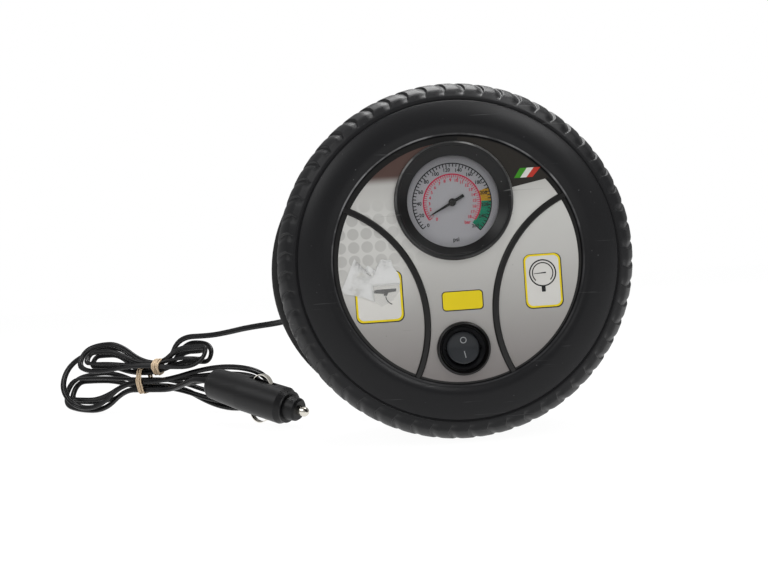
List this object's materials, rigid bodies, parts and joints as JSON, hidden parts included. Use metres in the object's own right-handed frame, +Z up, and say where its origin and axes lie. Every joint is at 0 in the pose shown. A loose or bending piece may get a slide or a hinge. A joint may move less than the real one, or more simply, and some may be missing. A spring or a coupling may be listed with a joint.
{
  "type": "tyre inflator with gauge",
  "caption": "Tyre inflator shaped like a small wheel, with a dial gauge, a round rocker switch, an air hose parked at the back and a supply lead tied in a hank.",
  "frame": {"origin": "on the floor under the middle of the wheel: the middle of the base of the housing's box", "axes": "+Z up, the dial looks towards -Y, the wheel's axis runs along Y, +X to the right seen from the dial"},
  "size_m": [0.3613, 0.1746, 0.17],
  "materials": {
    "tyre_black": "matt, fine grained",
    "panel_black": "satin",
    "panel_grey": "satin print",
    "gloss_black": "glossy",
    "lens_clear": "clear",
    "dial_white": "satin",
    "needle_black": "satin",
    "inner_black": "matt",
    "inner_white": "satin",
    "steel": "satin",
    "aluminium": "satin",
    "brass": "satin",
    "chrome": "polished",
    "magnet_grey": "matt",
    "rubber_black": "matt",
    "cord_black": "satin",
    "band_tan": "matt",
    "air_tube": "satin",
    "plug_black": "matt",
    "fuse_glass": "clear"
  },
  "bodies": {
    "housing": {"front_tyre_shell": "tyre_black", "rear_tyre_shell": "tyre_black", "case_screws": "steel", "rear_cover": "panel_black", "cord_gland": "rubber_black", "front_panel": "panel_black", "left_label": "panel_grey", "right_label": "panel_grey", "centre_label": "panel_grey", "gauge_bezel": "gloss_black", "gauge_lens": "lens_clear", "gauge_dial": "dial_white", "gauge_case": "inner_black", "gauge_movement": "brass", "bourdon_tube": "brass", "gauge_inlet": "brass", "switch_body": "gloss_black", "switch_terminals": "brass", "pump_bracket": "steel", "motor_can": "steel", "motor_magnets": "magnet_grey", "motor_end_cap": "inner_white", "pump_cylinder": "aluminium", "head_gasket": "rubber_black", "cylinder_head": "aluminium", "valve_cap": "brass", "valve_spring": "steel", "pump_fasteners": "steel", "air_tee": "brass", "air_tubes": "air_tube", "hose_elbow": "brass", "chuck_body": "gloss_black", "chuck_seal": "rubber_black", "lever_pin": "steel", "hose_ferrule": "aluminium", "air_hose": "rubber_black", "power_lead": "cord_black", "cord_hank": "cord_black", "hank_tail": "cord_black", "plug_body": "plug_black", "plug_nose": "plug_black", "plug_fuse": "fuse_glass", "plug_spring": "steel", "plug_contacts": "chrome", "hank_bands": "band_tan", "wiring": "cord_black"},
    "needle": {"gauge_needle": "needle_black"},
    "rocker": {"switch_rocker": "gloss_black"},
    "crank": {"crank_gear": "inner_white", "gear_spindle": "steel", "crank_pin": "steel"},
    "rotor": {"motor_rotor": "steel", "drive_pinion": "brass"},
    "rod": {"connecting_rod": "inner_white", "wrist_pin": "steel"},
    "piston": {"piston": "inner_white", "piston_seal": "rubber_black"},
    "valve": {"outlet_valve": "rubber_black"},
    "lever": {"chuck_lever": "gloss_black"},
    "plug_pin": {"plug_tip": "chrome"}
  },
  "joints": [
    {"name": "needle_swing", "type": "hinge", "parent": "housing", "child": "needle", "pos_m": [0, -0.018, 0.112], "axis": [0, 1, 0], "range_deg": [0, 258], "stiffness_Nm_per_rad": 0.00005, "springref_deg": -11.46},
    {"name": "rocker_tip", "type": "hinge", "parent": "housing", "child": "rocker", "pos_m": [0, -0.0254, 0.0445], "axis": [1, 0, 0], "range_deg": [0, 18]},
    {"name": "crank_spin", "type": "hinge", "parent": "housing", "child": "crank", "pos_m": [-0.031, 0.0055, 0.085], "axis": [1, 0, 0], "continuous": true},
    {"name": "rotor_spin", "type": "hinge", "parent": "housing", "child": "rotor", "pos_m": [-0.012, 0.0055, 0.103], "axis": [1, 0, 0], "continuous": true},
    {"name": "rod_swing", "type": "hinge", "parent": "crank", "child": "rod", "pos_m": [-0.0405, 0.0055, 0.089], "axis": [1, 0, 0], "continuous": true},
    {"name": "piston_slide", "type": "slide", "parent": "housing", "child": "piston", "axis": [0, 0, 1], "range_m": [-0.008, 0]},
    {"name": "valve_lift", "type": "slide", "parent": "housing", "child": "valve", "axis": [0, 0, 1], "range_m": [-0.001, 0], "stiffness_N_per_m": 60, "springref_m": 0.0006, "deforming": ["valve_spring"]},
    {"name": "lever_open", "type": "hinge", "parent": "housing", "child": "lever", "pos_m": [0.05074, 0.04318, 0.06289], "axis": [0.866, 0, -0.5], "range_deg": [0, 80]},
    {"name": "pin_press", "type": "slide", "parent": "housing", "child": "plug_pin", "axis": [-0.851, 0.4815, 0.2096], "range_m": [0, 0.003], "stiffness_N_per_m": 400, "springref_m": -0.002, "deforming": ["plug_spring"]}
  ],
  "couplings": [
    {"joint": "rotor_spin", "follows": "crank_spin", "ratio": -5},
    {"joint": "rod_swing", "follows": "crank_spin", "ratio": -1}
  ]
}
